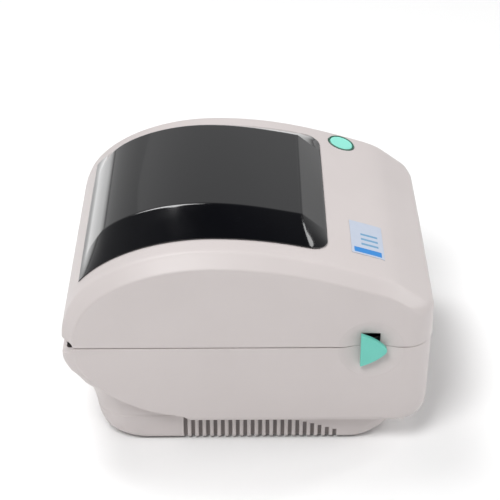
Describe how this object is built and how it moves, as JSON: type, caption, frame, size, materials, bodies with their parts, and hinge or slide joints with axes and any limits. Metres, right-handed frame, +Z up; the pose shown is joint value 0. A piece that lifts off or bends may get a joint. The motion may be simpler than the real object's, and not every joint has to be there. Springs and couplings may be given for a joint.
{
  "type": "desktop label printer",
  "caption": "Desktop thermal label printer: domed cover with a smoked window over a sliding roll cradle, side latches, feed button, platen drive and vented plinth.",
  "frame": {"origin": "middle of the printer's outline on the surface it stands on, under the rubber feet", "axes": "+Z up, labels leave towards -Y, the cover's hinge is at +Y, the feed button is on the +X side"},
  "size_m": [0.1824, 0.215, 0.1451],
  "materials": {
    "shell": "satin",
    "liner": "satin",
    "dark_plastic": "satin",
    "rubber": "matte",
    "smoked": "gloss",
    "mint": "satin",
    "ring_green": "gloss",
    "steel": "brushed",
    "nylon": "satin",
    "board": "satin",
    "ceramic": "satin",
    "ribbon": "satin",
    "label": "satin"
  },
  "bodies": {
    "base": {"base_shell": "shell", "bottom_plate": "dark_plastic", "rubber_feet": "rubber", "plate_screws": "steel", "media_tray": "liner", "rear_slot_guide": "liner", "side_frame_left": "steel", "side_frame_right": "steel", "hinge_rod": "steel", "platen_bushes": "nylon", "idler_stud": "steel", "motor_body": "dark_plastic", "motor_screws": "steel", "latch_spring": "steel", "media_sensor_bottom": "dark_plastic", "main_board": "board", "board_parts": "dark_plastic", "board_screws": "steel", "usb_socket": "steel", "power_inlet": "dark_plastic", "switch_housing": "dark_plastic"},
    "cover": {"cover_shell": "shell", "window": "smoked", "cover_frame": "liner", "head_carrier": "liner", "carrier_screws": "steel", "label_plate": "label", "button_ring": "ring_green", "button_board": "board", "tear_bar": "steel", "latch_strikers": "steel", "head_pivot": "steel", "head_springs": "steel", "head_cable": "ribbon", "media_sensor_top": "dark_plastic"},
    "head": {"head_bracket": "steel", "print_head": "ceramic"},
    "button": {"feed_button": "mint"},
    "platen": {"platen_shaft": "steel", "platen_rubber": "rubber", "platen_gear": "nylon"},
    "idler": {"idler_gear": "nylon"},
    "motor_rotor": {"motor_pinion": "nylon"},
    "latch": {"latch_shaft": "steel", "latch_lever_left": "mint", "latch_lever_right": "mint"},
    "holder_right": {"media_holder_right": "dark_plastic"},
    "holder_left": {"media_holder_left": "dark_plastic"},
    "holder_pinion": {"rack_pinion": "nylon"},
    "rocker": {"switch_rocker": "dark_plastic"}
  },
  "joints": [
    {"name": "cover_tilt", "type": "hinge", "parent": "base", "child": "cover", "pos_m": [0, 0.1, 0.078], "axis": [-1, 0, 0], "range_deg": [0, 88]},
    {"name": "head_float", "type": "hinge", "parent": "cover", "child": "head", "pos_m": [0, -0.066, 0.0924], "axis": [-1, 0, 0], "range_deg": [0, 3], "stiffness_Nm_per_rad": 2, "springref_deg": -5.73, "deforming": ["head_springs"]},
    {"name": "button_press", "type": "slide", "parent": "cover", "child": "button", "axis": [0, 0.2922, -0.9563], "range_m": [0, 0.001], "stiffness_N_per_m": 400, "springref_m": -0.0005},
    {"name": "platen_spin", "type": "hinge", "parent": "base", "child": "platen", "pos_m": [0, -0.09, 0.066], "axis": [1, 0, 0], "continuous": true},
    {"name": "idler_spin", "type": "hinge", "parent": "base", "child": "idler", "pos_m": [0, -0.07108, 0.054], "axis": [1, 0, 0], "continuous": true},
    {"name": "motor_spin", "type": "hinge", "parent": "base", "child": "motor_rotor", "pos_m": [0, -0.062, 0.038], "axis": [1, 0, 0], "continuous": true},
    {"name": "latch_tilt", "type": "hinge", "parent": "base", "child": "latch", "pos_m": [0, -0.084, 0.0362], "axis": [1, 0, 0], "range_deg": [0, 7], "stiffness_Nm_per_rad": 0.6, "springref_deg": -8.59},
    {"name": "holder_right_slide", "type": "slide", "parent": "base", "child": "holder_right", "axis": [-1, 0, 0], "range_m": [-0.004, 0.0408]},
    {"name": "holder_left_slide", "type": "slide", "parent": "base", "child": "holder_left", "axis": [1, 0, 0], "range_m": [-0.004, 0.0408]},
    {"name": "holder_pinion_spin", "type": "hinge", "parent": "base", "child": "holder_pinion", "pos_m": [0, 0.028, 0.02565], "axis": [0, 0, 1], "range_deg": [-392, 40]},
    {"name": "rocker_tilt", "type": "hinge", "parent": "base", "child": "rocker", "pos_m": [-0.04, 0.0891, 0.02815], "axis": [0, 0, -1], "range_deg": [0, 16]}
  ],
  "couplings": [
    {"joint": "idler_spin", "follows": "platen_spin", "ratio": -0.75},
    {"joint": "motor_spin", "follows": "platen_spin", "ratio": 1.7143},
    {"joint": "holder_left_slide", "follows": "holder_right_slide", "ratio": 1},
    {"joint": "holder_pinion_spin", "follows": "holder_right_slide", "rad_per_m": -166.67}
  ]
}
